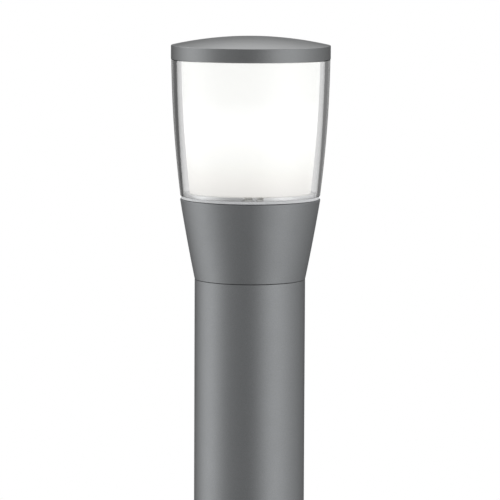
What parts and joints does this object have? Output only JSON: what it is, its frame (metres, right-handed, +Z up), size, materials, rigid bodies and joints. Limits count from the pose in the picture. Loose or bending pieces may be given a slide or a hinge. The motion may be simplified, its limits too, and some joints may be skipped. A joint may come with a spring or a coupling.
{
  "type": "bollard light",
  "caption": "Round garden bollard light: graphite pole with a tapered head, clear outer barrel, opal diffuser and a shallow domed cap.",
  "frame": {"origin": "centre of the foot's underside, on the ground", "axes": "+Z up along the pole, -Y towards the side that faces the viewer"},
  "size_m": [0.16, 0.16, 1],
  "materials": {
    "cast_graphite": "satin graphite powder coat on die-cast aluminium",
    "graphite_paint": "satin graphite powder coat on extruded aluminium",
    "clear_acrylic": "clear polished acrylic",
    "opal_acrylic": "opal white acrylic, satin",
    "bare_aluminium": "machined aluminium",
    "white_reflector": "white enamelled sheet",
    "silicone": "translucent light-grey silicone",
    "black_rubber": "matt black rubber",
    "stainless": "bright stainless steel",
    "zinc_steel": "zinc-plated steel",
    "porcelain": "glazed porcelain",
    "brass": "plain brass",
    "nickel": "nickel-plated brass",
    "black_glass": "black insulating glass",
    "white_plastic": "white moulded plastic",
    "grey_plastic": "grey moulded polyamide",
    "opal_envelope": "opal lamp envelope, lit",
    "led_board": "white solder-masked board",
    "lead_sheath": "black rubber cable sheath",
    "core_brown": "brown core insulation",
    "core_blue": "blue core insulation",
    "core_earth": "green and yellow core insulation"
  },
  "bodies": {
    "bollard": {"base_flange": "cast_graphite", "base_screw_1": "stainless", "base_screw_2": "stainless", "base_screw_3": "stainless", "bracket_screw_1": "zinc_steel", "bracket_screw_2": "zinc_steel", "cable_clamp": "grey_plastic", "clamp_screw_1": "zinc_steel", "clamp_screw_2": "zinc_steel", "earth_core": "core_earth", "earth_lug": "zinc_steel", "earth_screw": "brass", "entry_grommet": "black_rubber", "gland_body": "grey_plastic", "gland_dome_nut": "grey_plastic", "gland_locknut": "grey_plastic", "head_collar": "cast_graphite", "head_screw_1": "stainless", "head_screw_2": "stainless", "head_screw_3": "stainless", "holder_bracket_screw_1": "zinc_steel", "holder_bracket_screw_2": "zinc_steel", "lamp_tray": "white_reflector", "lampholder_body": "porcelain", "lampholder_bracket": "zinc_steel", "lampholder_contact": "brass", "lampholder_screw_1": "zinc_steel", "lampholder_screw_2": "zinc_steel", "lampholder_shell": "brass", "live_core": "core_brown", "lock_screw_left": "stainless", "lock_screw_right": "stainless", "lower_gasket": "silicone", "neutral_core": "core_blue", "pole": "graphite_paint", "supply_lead": "lead_sheath", "terminal_block": "white_plastic", "terminal_bracket": "zinc_steel", "terminal_core_1": "core_brown", "terminal_core_2": "core_earth", "terminal_core_3": "core_blue", "terminal_screw": "zinc_steel", "tray_screw_1": "stainless", "tray_screw_2": "stainless", "tray_screw_3": "stainless"},
    "lift_off_head": {"cap": "cast_graphite", "cap_screw_1": "stainless", "cap_screw_2": "stainless", "cap_screw_3": "stainless", "top_reflector": "white_reflector", "upper_gasket": "silicone", "clear_barrel": "clear_acrylic", "opal_diffuser": "opal_acrylic", "neck_ring": "bare_aluminium"},
    "lamp_foot": {"lamp_tip": "nickel", "lamp_insulator": "black_glass"},
    "lamp": {"lamp_screw_base": "nickel", "lamp_housing": "white_plastic", "lamp_led_board": "led_board", "lamp_envelope": "opal_envelope"}
  },
  "joints": [
    {"name": "head_lift", "type": "slide", "parent": "bollard", "child": "lift_off_head", "axis": [0, 0, 1], "range_m": [0, 0.12]},
    {"name": "lamp_rise", "type": "slide", "parent": "bollard", "child": "lamp_foot", "axis": [0, 0, 1], "range_m": [0, 0.0145]},
    {"name": "lamp_unscrew", "type": "hinge", "parent": "lamp_foot", "child": "lamp", "pos_m": [0, 0, 0.85], "axis": [0, 0, 1], "range_deg": [0, 1440]}
  ],
  "couplings": [
    {"joint": "lamp_rise", "follows": "lamp_unscrew", "m_per_rad": 0.00057614}
  ]
}
